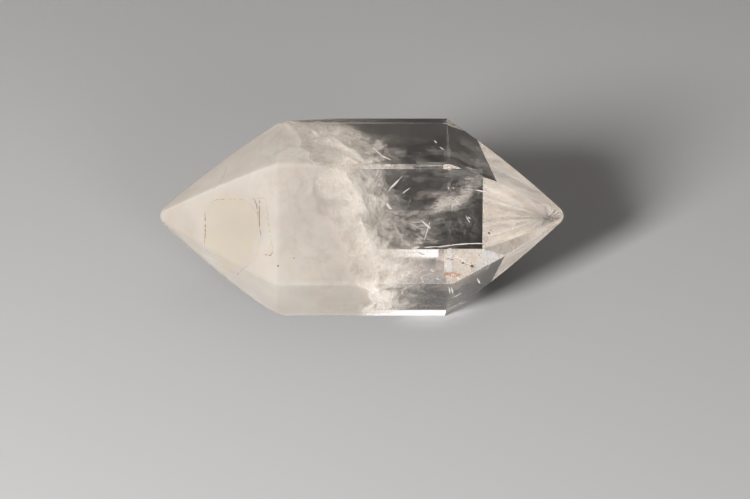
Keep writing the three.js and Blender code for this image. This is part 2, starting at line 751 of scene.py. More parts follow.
@dataclass
class CrystalBody:
    """The clear polished crystal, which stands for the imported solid."""

    form: StoneForm
    finish: PolishedQuartz = field(default_factory=PolishedQuartz)
    blank_reach: float = 20 * MM
    bands: int = 8
    last_band_share: float = 0.925
    longest_facet: float = 31 * MM
    nose_from: float = 40 * MM
    nose_rings: int = 6
    nose_angle: float = math.radians(52)
    nose_end_angle: float = math.radians(3)
    facing_end: float = 0.9
    edge_segments: int = 3
    sharp_angle: float = math.radians(41)
    smooth_angle: float = math.radians(24)

    def build(self) -> Object:
        """Models the crystal and dresses it.

        Returns:
            The crystal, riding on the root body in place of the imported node.
        """
        clear_selection()
        bpy.ops.mesh.primitive_cylinder_add(
            vertices=len(self.form.side_faces),
            radius=self.blank_reach,
            depth=2 * self.blank_reach,
            end_fill_type="NGON",
            rotation=(0.0, math.radians(90), 0.0),
        )
        piece = Workpiece("clear_crystal")
        self._set_long_edges(piece)
        for end in self.form.ends:
            self._raise_facets(piece, end)
        self._wear_corners(piece)
        self._round_edges(piece)
        for end in self.form.ends:
            self._round_nose(piece, end)
        bpy.ops.mesh.select_all(action="SELECT")
        bpy.ops.transform.translate(value=self.form.axis_place())
        crystal = piece.close()
        bpy.ops.object.shade_smooth_by_angle(angle=self.smooth_angle)
        piece.apply("WEIGHTED_NORMAL", keep_sharp=True, weight=100)
        crystal.data.materials.append(self.finish.material())
        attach(crystal, ROOT_BODY)
        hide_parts(STONE_NODE)
        return crystal

    def _set_long_edges(self, piece: Workpiece) -> None:
        """Moves the regular hexagon's corners to the stone's long edges and shoulders.

        Args:
            piece: The hexagonal blank.
        """
        for edge, face in enumerate(self.form.side_faces):
            foot = self.form.edge_foot(edge)
            corner = across(face.turn + 30)
            for end in self.form.ends:
                side = math.copysign(1.0, end.apex)
                corner_place = (corner + Vector((side, 0.0, 0.0))) * self.blank_reach
                piece.select_points(lambda place: (place - corner_place).length < MM)
                target = foot + Vector((end.shoulders[edge], 0.0, 0.0))
                bpy.ops.transform.translate(value=target - corner_place)

    def _raise_facets(self, piece: Workpiece, end: StoneEnd) -> None:
        """Draws one end out towards its apex in bands, each a little steeper than the last.

        Args:
            piece: The crystal.
            end: The end.
        """
        side = math.copysign(1.0, end.apex)
        apex = Vector((end.apex, 0.0, 0.0))
        piece.select_faces(lambda face: face.normal.x * side > self.facing_end and len(face.verts) == 6)
        shares = [self.last_band_share * band / self.bands for band in range(self.bands + 1)]
        for low, high in zip(shares, shares[1:]):
            narrowing = self.form.profile(high) / self.form.profile(low)
            piece.extrude_cap(((1 - high) / (1 - low), narrowing, narrowing), apex, Vector())

    def _wear_corners(self, piece: Workpiece) -> None:
        """Cuts the worn flats across the milky end's corners.

        Args:
            piece: The crystal.
        """
        for flat in self.form.worn_flats:
            lean = math.radians(flat.lean)
            normal = across(flat.turn) * math.cos(lean) + Vector((-math.sin(lean), 0.0, 0.0))
            point = across(flat.turn) * flat.from_axis + Vector((flat.along, 0.0, 0.0))
            piece.cut(point, normal, use_fill=True, clear_outer=True)

    def _round_edges(self, piece: Workpiece) -> None:
        """Rounds every edge between faces, but not round the caps that the noses grow from.

        Args:
            piece: The crystal.
        """
        bpy.ops.mesh.select_mode(type="EDGE")
        bpy.ops.mesh.select_all(action="DESELECT")
        bpy.ops.mesh.edges_select_sharp(sharpness=self.sharp_angle)
        shape = bmesh.from_edit_mesh(piece.obj.data)
        for edge in shape.edges:
            if all(self._on_cap(vertex.co) for vertex in edge.verts):
                edge.select_set(False)
        bmesh.update_edit_mesh(piece.obj.data)
        bpy.ops.mesh.bevel(
            offset_type="OFFSET",
            offset=self.form.edge_round,
            segments=self.edge_segments,
            affect="EDGES",
            clamp_overlap=False,
        )

    def _on_cap(self, place: Vector) -> bool:
        """Tells whether a place lies on the flat end of the last band."""
        end = self.form.clear_end if place.x > 0 else self.form.milky_end
        return abs(place.x) > abs(end.apex) - (1 - self.last_band_share) * self.longest_facet

    def _round_nose(self, piece: Workpiece, end: StoneEnd) -> None:
        """Grows a round nose from the flat end of the last band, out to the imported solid's tip.

        Args:
            piece: The crystal.
            end: The end.
        """
        side = math.copysign(1.0, end.apex)
        piece.select_faces(lambda face: (
            face.normal.x * side > self.facing_end and face.calc_center_median().x * side > self.nose_from
        ))
        shape = bmesh.from_edit_mesh(piece.obj.data)
        cap = [vertex.co.copy() for vertex in shape.verts if vertex.select]
        centre = sum(cap, Vector()) / len(cap)
        ball = abs(end.tip - centre.x) / (1 - math.cos(self.nose_angle))
        angles = [self.nose_angle * (1 - ring / self.nose_rings) for ring in range(self.nose_rings)]
        for wide, narrow in zip(angles, (*angles[1:], self.nose_end_angle)):
            shrink = math.sin(narrow) / math.sin(wide)
            advance = side * ball * (math.cos(narrow) - math.cos(wide))
            piece.extrude_cap((1.0, shrink, shrink), centre, Vector((advance, 0.0, 0.0)))


@dataclass(frozen=True)
class CloudEdge:
    """Where the milky part gives way to the clear, as a slanted plane across the stone."""

    form: StoneForm
    at_axis: float = -0.5 * MM
    slope: float = -0.42
    rise_turn: float = 45.0
    raggedness: float = 4.0 * MM
    rag_size: float = 11.0 * MM

    def past(self, places: np.ndarray) -> np.ndarray:
        """Measures how far places lie past the edge.

        Args:
            places: The places, one row each.

        Returns:
            Their distances along X, negative on the milky side.
        """
        own = places - np.array(self.form.axis_place())
        rise = own @ np.array(across(self.rise_turn))
        return own[..., 0] - self.at_axis - self.slope * rise

    def ragged(self, places: np.ndarray) -> np.ndarray:
        """Returns how far places lie past the edge, as if its plane were torn and wavy."""
        waves = waviness(places, self.rag_size, falloff=0.8, layers=3)
        return self.past(places) + self.raggedness * waves

    def plane(self, past: float) -> tuple[Vector, Vector]:
        """Returns a point and the normal of the plane that far past the edge."""
        point = self.form.axis_place() + Vector((self.at_axis + past, 0.0, 0.0))
        return point, (Vector((1.0, 0.0, 0.0)) - self.slope * across(self.rise_turn)).normalized()


def waviness(
    places: np.ndarray, size: float, falloff: float, layers: int, finer: float = 2.0
) -> np.ndarray:
    """Measures a wavy noise.

    Args:
        places: Where it is measured, one row each.
        size: The size of its largest waves.
        falloff: How much weaker each finer layer is.
        layers: How many layers it has.
        finer: How much finer each layer is than the one before.

    Returns:
        Its height at each place, about -1 to 1.
    """
    return np.array([noise.fractal(Vector(place) / size, falloff, finer, layers) for place in places])


def nose_width(past: np.ndarray, taper_from: float, taper_to: float) -> np.ndarray:
    """Returns a round nose's width, as a share of the stone's, at distances past the cloud's edge."""
    reach = np.clip((past - taper_from) / (taper_to - taper_from), 0.0, 1.0)
    return np.sqrt(1.0 - reach**2)


@dataclass
class CloudSkin:
    """A surface that follows the stone's skin in the milky part and closes in a lumpy nose."""

    edge: CloudEdge
    name: str
    inset: float
    taper_from: float
    taper_to: float
    voxel: float = 0.6 * MM
    lump_size: float = 5.0 * MM
    lump_depth: float = 0.25
    open_before: float | None = None
    least_width: float = 0.02

    def build(self, crystal: Object, material: Material) -> Object:
        """Models the surface from a copy of the crystal.

        Args:
            crystal: The finished clear crystal.
            material: The surface's material.

        Returns:
            The surface, riding on the root body.
        """
        clear_selection()
        copy = bpy.data.objects.new(self.name, crystal.data.copy())
        copy.data.materials.clear()
        bpy.context.scene.collection.objects.link(copy)
        copy.select_set(True)
        bpy.context.view_layer.objects.active = copy
        piece = Workpiece(self.name)
        bpy.ops.mesh.select_all(action="SELECT")
        bpy.ops.transform.shrink_fatten(value=-self.inset)
        margin_plane = self.edge.plane(self.taper_to + self.edge.raggedness)
        piece.cut(*margin_plane, use_fill=True, clear_outer=True)
        piece.close()
        piece.apply("REMESH", mode="VOXEL", voxel_size=self.voxel)
        self._draw_in(piece.obj)
        if self.open_before is not None:
            bpy.ops.object.mode_set(mode="EDIT")
            piece.cut(*self.edge.plane(self.open_before), clear_inner=True)
            piece.close()
        bpy.ops.object.shade_smooth()
        return piece.finish(material)

    def _draw_in(self, skin: Object) -> None:
        """Draws the nose in towards the axis, unevenly.

        Args:
            skin: The surface, in object mode.
        """
        places = np.array([vertex.co for vertex in skin.data.vertices])
        axis = self.edge.form.axis_place()
        straight = self.edge.past(places)
        past = self.edge.ragged(places)
        lumps = waviness(places, self.lump_size, falloff=0.7, layers=4)
        share = nose_width(past, self.taper_from, self.taper_to)
        share *= 1.0 - self.lump_depth * (1.0 - share) * (1.0 + lumps)
        share = np.where(past > self.taper_from, np.clip(share, self.least_width, 1.0), 1.0)
        places[:, 1] = axis.y + (places[:, 1] - axis.y) * share
        places[:, 2] = axis.z + (places[:, 2] - axis.z) * share
        places[:, 0] += straight - self.edge.past(places) - np.maximum(past - self.taper_to, 0.0)
        skin.data.vertices.foreach_set("co", places.ravel())
        skin.data.update()


@dataclass
class CloudShells:
    """Thin cloudy surfaces, one outside the other, that soften the milky core's end."""

    edge: CloudEdge
    first_inset: float = 0.5 * MM
    inset_step: float = 0.12 * MM
    voxel: float = 0.7 * MM
    first_lump_size: float = 4.0 * MM
    lump_size_step: float = 1.0 * MM
    lump_depth: float = 0.3
    first_cover: float = 0.68
    cover_step: float = -0.09
    skirt: float = 6 * MM
    fade: float = 2 * MM
    tapers: tuple[tuple[float, float], ...] = (
        (-11 * MM, 1.0 * MM),
        (-9 * MM, 3.0 * MM),
        (-7.5 * MM, 5.5 * MM),
        (-6 * MM, 8.5 * MM),
        (-4.5 * MM, 12.0 * MM),
    )

    def build(self, crystal: Object) -> list[Object]:
        """Models every shell.

        Args:
            crystal: The finished clear crystal.

        Returns:
            The shells, riding on the root body.
        """
        made = []
        for index, (taper_from, taper_to) in enumerate(self.tapers):
            film = CloudFilm(
                f"cloud_shell_{index + 1}",
                self.edge,
                start=taper_from - self.fade,
                thin_from=taper_from,
                thin_to=taper_to + self.fade,
                cover=self.first_cover + index * self.cover_step,
            )
            skin = CloudSkin(
                self.edge,
                film.name,
                self.first_inset + index * self.inset_step,
                taper_from,
                taper_to,
                voxel=self.voxel,
                lump_size=self.first_lump_size + index * self.lump_size_step,
                lump_depth=self.lump_depth,
                open_before=taper_from - self.skirt,
            )
            made.append(skin.build(crystal, film.material()))
        return made


@dataclass
class MilkyCore:
    """The dense milky part of the stone, just under its surface."""

    edge: CloudEdge
    viewpoint: "Viewpoint"
    inset: float = 0.3 * MM
    taper_from: float = -9.5 * MM
    taper_to: float = -0.5 * MM

    def build(self, crystal: Object) -> Object:
        """Returns the core, modelled from the clear crystal and riding on the root body."""
        skin = CloudSkin(self.edge, "milky_core", self.inset, self.taper_from, self.taper_to)
        return skin.build(crystal, Milk(self.edge, HealedTint(self.viewpoint.up)).material())


@dataclass(frozen=True)
class HazeLayer:
    """One kind of haze flake: how many, how large, and how they thin out."""

    name: str
    count: int
    size: float
    past_from: float
    past_middle: float
    fade: float
    clump_size: float
    clump_contrast: float


@dataclass
class Haze:
    """Clouds of tiny flakes that fade from the milky part into the clear."""

    edge: CloudEdge
    core: MilkyCore
    finish: PlainMatt = PlainMatt("haze_flakes", (0.78, 0.74, 0.71, 1.0), 0.7)
    clearance: float = 0.4 * MM
    seen_depth: float = 0.8
    trials: int = 60000
    clump_middle: float = 0.4
    least_density: float = 0.01
    layers: tuple[HazeLayer, ...] = (
        HazeLayer("dense_haze", 140000, 0.1 * MM, -12 * MM, -3.0 * MM, 2.6 * MM, 4.0 * MM, 2.0),
        HazeLayer("thin_haze", 50000, 0.1 * MM, -4 * MM, 5.0 * MM, 3.4 * MM, 3.0 * MM, 2.6),
    )

    def build(self) -> list[Object]:
        """Scatters every layer's flakes.

        Returns:
            One mesh of flakes for each layer, riding on the root body.
        """
        rng = np.random.default_rng(SEED)
        material = self.finish.material()
        made = []
        for layer in self.layers:
            mesh = flake_mesh(layer.name, self._places(layer, rng), layer.size, rng)
            haze = bpy.data.objects.new(layer.name, mesh)
            bpy.context.scene.collection.objects.link(haze)
            mesh.materials.append(material)
            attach(haze, ROOT_BODY)
            made.append(haze)
        return made

    def _places(self, layer: HazeLayer, rng: np.random.Generator) -> np.ndarray:
        """Scatters a layer's flakes, which thin out towards the clear point.

        Args:
            layer: The layer.
            rng: Source of the places.

        Returns:
            The flakes' places, one row each, none of them deep inside the milky core.
        """
        normals, distances = self.edge.form.planes()
        low, high = (np.array(corner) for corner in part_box(STONE_NODE))
        axis = np.array(self.edge.form.axis_place())
        kept: list[np.ndarray] = []
        total = 0
        while total < layer.count:
            trial = rng.uniform(low, high, (self.trials, 3))
            inside = (trial @ normals.T < distances - self.clearance).all(axis=1)
            trial = trial[inside]
            past = self.edge.ragged(trial)
            width = ((trial - axis) @ normals.T / (distances - normals @ axis)).max(axis=1)
            hidden = width < nose_width(past, self.core.taper_from, self.core.taper_to) * self.seen_depth
            hidden |= past < layer.past_from
            trial, past = trial[~hidden], past[~hidden]
            clumps = waviness(trial, layer.clump_size, falloff=0.6, layers=4, finer=2.1)
            density = 1 / (1 + np.exp((past - layer.past_middle) / layer.fade))
            clumped = self.clump_middle + layer.clump_contrast * clumps
            density *= np.clip(clumped, self.least_density, 1.0)
            chosen = trial[rng.uniform(0, 1, len(trial)) < density]
            kept.append(chosen)
            total += len(chosen)
        return np.concatenate(kept)[: layer.count]


@dataclass(frozen=True)
class Viewpoint:
    """The photograph's viewpoint: how the stone is framed in it, and what each of its pixels shows."""

    elevation: float = 30.0
    lens: float = 150.0
    sensor: float = 36.0
    pixels_per_metre: float = 4494.0
    image_width: int = 750
    image_height: int = 499
    aim_right: float = 2.93 * MM
    aim_down: float = 8.33 * MM
    refraction: float = QUARTZ_REFRACTION

    @property
    def back(self) -> Vector:
        """The direction from the stone to the camera."""
        rise = math.radians(self.elevation)
        return Vector((0.0, -math.cos(rise), math.sin(rise)))

    @property
    def up(self) -> Vector:
        """The photograph's upward direction."""
        rise = math.radians(self.elevation)
        return Vector((0.0, math.sin(rise), math.cos(rise)))

    def aim(self) -> Vector:
        """Returns the point that the camera looks at."""
        low, high = (Vector(corner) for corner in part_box(STONE_NODE))
        return (low + high) / 2 + Vector((self.aim_right, 0.0, 0.0)) - self.up * self.aim_down

    def camera_place(self) -> Vector:
        """Returns where the camera stands."""
        width = self.image_width / self.pixels_per_metre
        return self.aim() + self.back * (width * self.lens / self.sensor)

    def inside(self, crystal: Object, pixel: tuple[float, float], depth: float) -> Vector:
        """Finds a place inside the stone.

        Args:
            crystal: The clear crystal.
            pixel: Where the place shows in the photograph.
            depth: How far it is beyond the skin, along the bent line of sight.

        Returns:
            The place.
        """
        across_picture = (pixel[0] - self.image_width / 2) / self.pixels_per_metre
        up_picture = (self.image_height / 2 - pixel[1]) / self.pixels_per_metre
        start = self.camera_place()
        target = self.aim() + Vector((across_picture, 0.0, 0.0)) + self.up * up_picture
        sight = (target - start).normalized()
        struck, place, normal, _ = crystal.ray_cast(start, sight)
        if not struck:
            raise ValueError(f"pixel {pixel} misses the stone")
        bend = 1 / self.refraction
        slant = -normal.dot(sight)
        bent = sight * bend + normal * (bend * slant - math.sqrt(1 - bend**2 * (1 - slant**2)))
        return place + bent.normalized() * depth


def flake_mesh(name: str, places: np.ndarray, size: float, rng: np.random.Generator) -> bpy.types.Mesh:
    """Makes one mesh of triangular flakes.

    Args:
        name: The mesh's name.
        places: The flakes' centres, one row each.
        size: Their mean side.
        rng: Source of their turns and sizes.

    Returns:
        A mesh with one triangle for each place.
    """
    count = len(places)
    first = rng.normal(size=(count, 3))
    first /= np.linalg.norm(first, axis=1, keepdims=True)
    other = rng.normal(size=(count, 3))
    second = np.cross(first, other)
    second /= np.linalg.norm(second, axis=1, keepdims=True)
    reach = size * rng.uniform(*FLAKE_REACH, (count, 1))
    corners = np.empty((count, 3, 3))
    for corner in range(3):
        angle = 2 * math.pi * corner / 3 + rng.uniform(-FLAKE_SKEW, FLAKE_SKEW, (count, 1))
        corners[:, corner] = places + reach * (first * np.cos(angle) + second * np.sin(angle))
    mesh = bpy.data.meshes.new(name)
    mesh.from_pydata(corners.reshape(-1, 3), [], np.arange(3 * count).reshape(-1, 3))
    return mesh


@dataclass(frozen=True)
class VeilPlan:
    """A healed crack, by where its middle shows in the photograph, its depth, facing, sizes and roll."""

    pixel: tuple[float, float]
    depth: float
    azimuth: float
    elevation: float
    length: float
    breadth: float
    roll: float
    film: str = "pale"
    bend: float = 0.8 * MM


@dataclass
class Veils:
    """Healed cracks that hang in the clear part like torn gauze."""

    edge: CloudEdge
    viewpoint: Viewpoint
    clearance: float = 0.35 * MM
    films: dict[str, VeilFilm] = field(default_factory=lambda: {
        "pale": VeilFilm("pale_veil", (0.87, 0.81, 0.76, 1.0), 0.92, gap=0.47),
        "thin": VeilFilm("thin_veil", (0.7, 0.67, 0.64, 1.0), 0.34, gap=0.53),
        "rosy": VeilFilm("rosy_veil", (0.8, 0.68, 0.62, 1.0), 0.6, gap=0.48),
    })
    plans: tuple[VeilPlan, ...] = (
        VeilPlan((392, 208), 9 * MM, -35, 25, 20 * MM, 20 * MM, 30, "thin"),
        VeilPlan((408, 230), 8 * MM, -10, 35, 20 * MM, 11 * MM, -35),
        VeilPlan((428, 194), 10 * MM, 5, 50, 9 * MM, 2.6 * MM, 6, "rosy"),
        VeilPlan((464, 188), 7 * MM, 5, 28, 16 * MM, 6 * MM, 44),
        VeilPlan((444, 202), 8 * MM, 0, 32, 13 * MM, 3.6 * MM, 26),
        VeilPlan((372, 146), 5 * MM, -10, 70, 17 * MM, 9 * MM, -28),
        VeilPlan((408, 150), 7 * MM, -5, 62, 26 * MM, 12 * MM, -8, "thin"),
        VeilPlan((446, 212), 6 * MM, 0, 32, 17 * MM, 15 * MM, 38, "thin"),
        VeilPlan((425, 168), 12 * MM, 5, 20, 24 * MM, 7 * MM, 0, "thin"),
        VeilPlan((470, 150), 7 * MM, 25, 55, 20 * MM, 12 * MM, -32, "thin"),
        VeilPlan((480, 165), 12 * MM, 40, 40, 18 * MM, 10 * MM, -32, "thin"),
        VeilPlan((440, 262), 9 * MM, 0, 20, 22 * MM, 8 * MM, 0, "rosy"),
        VeilPlan((425, 300), 6 * MM, -10, -20, 16 * MM, 7 * MM, 0, "thin"),
        VeilPlan((378, 190), 22 * MM, 60, 20, 14 * MM, 11 * MM, 15),
        VeilPlan((420, 215), 24 * MM, -60, 10, 14 * MM, 11 * MM, -20, "thin"),
        VeilPlan((450, 225), 18 * MM, 80, 30, 13 * MM, 10 * MM, 10, "thin"),
    )
    mesh_steps: int = 36
    wave_size: float = 6 * MM
    wave_step: float = 20 * MM
    milk_reach: float = 12 * MM

    def build(self, crystal: Object) -> list[Object]:
        """Models every veil.

        Args:
            crystal: The clear crystal, which the veils stay inside.

        Returns:
            The veils, riding on the root body.
        """
        materials = {name: film.material() for name, film in self.films.items()}
        made = []
        for index, plan in enumerate(self.plans):
            clear_selection()
            bpy.ops.mesh.primitive_grid_add(
                x_subdivisions=self.mesh_steps, y_subdivisions=self.mesh_steps, size=1.0
            )
            piece = Workpiece(f"veil_{index + 1:02d}")
            self._bend(piece, plan, index)
            place = self.viewpoint.inside(crystal, plan.pixel, plan.depth)
            facing = towards(plan.azimuth, plan.elevation).to_track_quat("Z", "Y").to_matrix()
            lay = facing @ Matrix.Rotation(math.radians(plan.roll), 3, "Z")
            piece.move_points(lambda flat: place + lay @ flat)
            self._trim(piece)
            made.append(piece.finish(materials[plan.film]))
            bpy.ops.object.shade_smooth()
        return made

    def _bend(self, piece: Workpiece, plan: VeilPlan, index: int) -> None:
        """Sizes a flat grid and gives it gentle waves.

        Args:
            piece: The grid, a metre wide.
            plan: The veil's plan.
            index: The veil's place in the list, so that its waves are its own.
        """
        bpy.ops.transform.resize(value=(plan.length, plan.breadth, 1.0), center_override=(0.0, 0.0, 0.0))
        shape = bmesh.from_edit_mesh(piece.obj.data)
        for vertex in shape.verts:
            spot = Vector((vertex.co.x, vertex.co.y, index * self.wave_step)) / self.wave_size
            vertex.co.z = plan.bend * noise.fractal(spot, 0.9, 2.0, 3)
        bmesh.update_edit_mesh(piece.obj.data)

    def _trim(self, piece: Workpiece) -> None:
        """Cuts a veil off where it would come out through the skin or go deep into the milk.

        Args:
            piece: The veil, in its place.
        """
        normals, distances = self.edge.form.planes()
        for normal, distance in zip(normals, distances):
            facing = Vector(normal)
            piece.cut(facing * (distance - self.clearance), facing, clear_outer=True)
        piece.cut(*self.edge.plane(-self.milk_reach), clear_inner=True)


@dataclass(frozen=True)
class GlintPlan:
    """A small bright sheet, from one pixel of the photograph to another: most are cracks, some are painted
    highlights.
    """

    start: tuple[float, float]
    end: tuple[float, float]
    breadth: float
    depth: float


@dataclass
class Glints:
    """Small bright sheets: fresh cracks that catch the light, and painted highlights on bright lines of the
    skin.
    """

    viewpoint: Viewpoint
    # White matt sheets: the cracks' own whiteness, and painted highlights for the bright lines marked in
    # the list.
    finish: InclusionAndGlintFinish = InclusionAndGlintFinish(
        "crack_and_painted_glint", (0.95, 0.93, 0.9, 1.0), (0.8, 0.78, 0.75, 1.0), 2500.0
    )
    corners: int = 14
    jag: float = 0.25
    tilt: float = 0.4
    depth_change: float = 0.4 * MM
    plans: tuple[GlintPlan, ...] = (
        GlintPlan((401, 177.5), (388, 191), 0.42 * MM, 4 * MM),
        GlintPlan((410, 188), (402, 193.5), 0.25 * MM, 5 * MM),
        GlintPlan((421.5, 220.5), (431, 229), 0.4 * MM, 4 * MM),
        GlintPlan((450, 199), (461, 206), 0.25 * MM, 5 * MM),
        GlintPlan((373, 148), (381, 155), 0.4 * MM, 3 * MM),
        GlintPlan((380, 155), (391, 160), 0.5 * MM, 3 * MM),
        GlintPlan((434, 140.5), (437, 143), 0.3 * MM, 4 * MM),
        GlintPlan((440, 147), (444, 150), 0.4 * MM, 5 * MM),
        GlintPlan((386, 203), (392, 210), 0.6 * MM, 5 * MM),
        # Painted highlight: a white sheet that stands for the bright line along the front face's upper
        # edge.
        GlintPlan((414, 166), (447, 165.6), 0.12 * MM, 2 * MM),
        GlintPlan((430, 222), (424, 241), 0.25 * MM, 7 * MM),
        GlintPlan((344, 147), (357, 152), 0.5 * MM, 1.2 * MM),
        GlintPlan((312, 130), (318, 136), 0.7 * MM, 0.6 * MM),
        GlintPlan((320, 131), (322, 134), 0.4 * MM, 0.6 * MM),
        GlintPlan((314, 140), (317, 142), 0.35 * MM, 0.6 * MM),
        GlintPlan((335, 143), (338, 146), 0.4 * MM, 0.9 * MM),
        GlintPlan((349, 141), (351, 145), 0.35 * MM, 1.2 * MM),
        GlintPlan((358, 136), (361, 139), 0.3 * MM, 1.6 * MM),
        GlintPlan((365, 152), (370, 154), 0.3 * MM, 1.6 * MM),
        GlintPlan((327, 139), (331, 141), 0.6 * MM, 0.8 * MM),
        # Painted highlights, this row and the five after it: white sheets along the bright line where the
        # clear window's lower edge shows.
        GlintPlan((411, 249.5), (419, 247), 0.5 * MM, 1.0 * MM),
        GlintPlan((417, 252), (425, 255), 0.4 * MM, 1.2 * MM),
        GlintPlan((424, 247.5), (437, 246.5), 0.3 * MM, 0.8 * MM),
        GlintPlan((436, 247), (454, 245), 0.3 * MM, 0.8 * MM),
        GlintPlan((452, 245), (470, 243.5), 0.3 * MM, 0.8 * MM),
        GlintPlan((466, 243.7), (483, 243.5), 0.22 * MM, 0.8 * MM),
        GlintPlan((466, 216), (470, 223), 0.3 * MM, 5 * MM),
        GlintPlan((476, 190), (486, 192), 0.35 * MM, 4 * MM),
        GlintPlan((449, 287), (453, 294), 0.3 * MM, 1.5 * MM),
        GlintPlan((452, 298), (462, 293), 0.3 * MM, 1.2 * MM),
        GlintPlan((477, 278), (480, 284), 0.3 * MM, 2.0 * MM),
        GlintPlan((486, 270), (490, 265), 0.2 * MM, 2.0 * MM),
        GlintPlan((461, 287), (463, 289), 0.3 * MM, 2.0 * MM),
        GlintPlan((468, 217), (471, 219), 0.25 * MM, 6.0 * MM),
        GlintPlan((448, 187), (449, 189), 0.3 * MM, 5.0 * MM),
    )

    def build(self, crystal: Object) -> list[Object]:
        """Models every crack and painted highlight as a small jagged lens of its own.

        Args:
            crystal: The clear crystal.

        Returns:
            The cracks, riding on the root body.
        """
        material = self.finish.material()
        rng = np.random.default_rng(SEED + 1)
        made = []
        for index, plan in enumerate(self.plans):
            start = self.viewpoint.inside(crystal, plan.start, plan.depth)
            end_depth = plan.depth + rng.uniform(-self.depth_change, self.depth_change)
            end = self.viewpoint.inside(crystal, plan.end, end_depth)
            clear_selection()
            bpy.ops.mesh.primitive_circle_add(vertices=self.corners, radius=0.5, fill_type="TRIFAN")
            # Some sheets are cracks, the rest painted highlights, as marked in the list.
            piece = Workpiece(f"painted_glint_and_crack_{index + 1:02d}")
            along = (end - start).normalized()
            towards_eye = self.viewpoint.back + Vector(rng.uniform(-self.tilt, self.tilt, 3))
            over = along.cross(towards_eye).normalized()
            lay = Matrix((end - start, over * plan.breadth, along.cross(over))).transposed()
            middle = (start + end) / 2
            piece.move_points(lambda flat: middle + lay @ (flat * (1 + rng.uniform(-self.jag, self.jag))))
            made.append(piece.finish(material))
        return made


@dataclass(frozen=True)
class LinePlan:
    """A thin line just under the skin, through pixels of the photograph."""

    pixels: tuple[tuple[float, float], ...]
    breadth: float


@dataclass
class HealedFracture:
    """The healed fracture at the milky end: lines of iron stain and pale seams round a tinted patch."""

    viewpoint: Viewpoint
    depth: float = 0.16 * MM
    stain: InclusionAndGlintFinish = InclusionAndGlintFinish(
        "iron_stain", (0.25, 0.12, 0.04, 1.0), (0.42, 0.27, 0.13, 1.0), 1500.0, breaks=0.42
    )
    pale_line: InclusionAndGlintFinish = InclusionAndGlintFinish(
        "pale_seam", (0.56, 0.44, 0.28, 1.0), (0.72, 0.62, 0.46, 1.0), 1200.0, cover=0.45, breaks=0.42
    )
    stain_lines: tuple[LinePlan, ...] = (
        LinePlan(((254.2, 199.3), (256.4, 204.2), (257.6, 215)), 0.18 * MM),
        LinePlan(((259.7, 198.3), (259.3, 210.7), (259.3, 220.5), (259.7, 229.2), (261, 235.7)), 0.22 * MM),
        LinePlan(((204.9, 213.5), (205.4, 222), (205.3, 232), (204.4, 243)), 0.2 * MM),
        LinePlan(((272.7, 252), (270.5, 255.6), (267.5, 255), (264.5, 254.7)), 0.18 * MM),
    )
    seam_lines: tuple[LinePlan, ...] = (
        LinePlan(((264.5, 198.3), (266.7, 210.7), (268.9, 226), (271.6, 242), (272.7, 252)), 0.16 * MM),
        LinePlan(((249, 200), (254, 198.8), (260, 198.2), (265, 198.4)), 0.14 * MM),
        LinePlan(((204.4, 243), (209, 253), (218, 263), (228, 270), (237.5, 274)), 0.14 * MM),
        LinePlan(((237.5, 274), (245, 267.5), (253, 260), (258, 252), (260.7, 236)), 0.14 * MM),
        LinePlan(((204.9, 213.5), (208, 204), (214, 200), (222, 199.3), (243, 199.6)), 0.14 * MM),
        LinePlan(((243, 199.6), (250, 203.5), (255, 210), (258, 219)), 0.14 * MM),
        LinePlan(((227, 167), (224.5, 174), (220.5, 181.5), (214, 189)), 0.16 * MM),
    )

    def build(self, crystal: Object) -> list[Object]:
        """Draws every line.

        Args:
            crystal: The clear crystal.

        Returns:
            The lines, riding on the root body.
        """
        made = []
        for label, finish, plans in (
            ("iron_line", self.stain, self.stain_lines),
            ("seam_line", self.pale_line, self.seam_lines),
        ):
            pen = LinePen(self.viewpoint, crystal, finish.material(), self.depth)
            made += [pen.draw(f"{label}_{index + 1}", plan) for index, plan in enumerate(plans)]
        return made


@dataclass
class LinePen:
    """Draws thin flat lines of one material at one depth under the skin."""

    viewpoint: Viewpoint
    crystal: Object
    material: Material
    depth: float
    end_taper: float = 0.5

    def draw(self, name: str, plan: LinePlan) -> Object:
        """Draws one line.

        Args:
            name: The line's name.
            plan: Its course and breadth.

        Returns:
            The line, riding on the root body.
        """
        places = [self.viewpoint.inside(self.crystal, pixel, self.depth) for pixel in plan.pixels]
        clear_selection()
        bpy.ops.mesh.primitive_plane_add(size=1.0)
        piece = Workpiece(name)
        piece.select_points(lambda place: place.x > 0)
        for _ in places[2:]:
            bpy.ops.mesh.extrude_region_move(TRANSFORM_OT_translate={"value": (1.0, 0.0, 0.0)})
        shape = bmesh.from_edit_mesh(piece.obj.data)
        for vertex in shape.verts:
            step = round(vertex.co.x + 0.5)
            before = places[max(step - 1, 0)]
            after = places[min(step + 1, len(places) - 1)]
            over = (after - before).cross(self.viewpoint.back).normalized()
            taper = self.end_taper if step in (0, len(places) - 1) else 1.0
            vertex.co = places[step] + over * (math.copysign(plan.breadth / 2, vertex.co.y) * taper)
        bmesh.update_edit_mesh(piece.obj.data)
        return piece.finish(self.material)


@dataclass(frozen=True)
class SpeckPlan:
    """A grain of iron ore, by where it shows in the photograph, its size and depth."""

    pixel: tuple[float, float]
    size: float
    depth: float


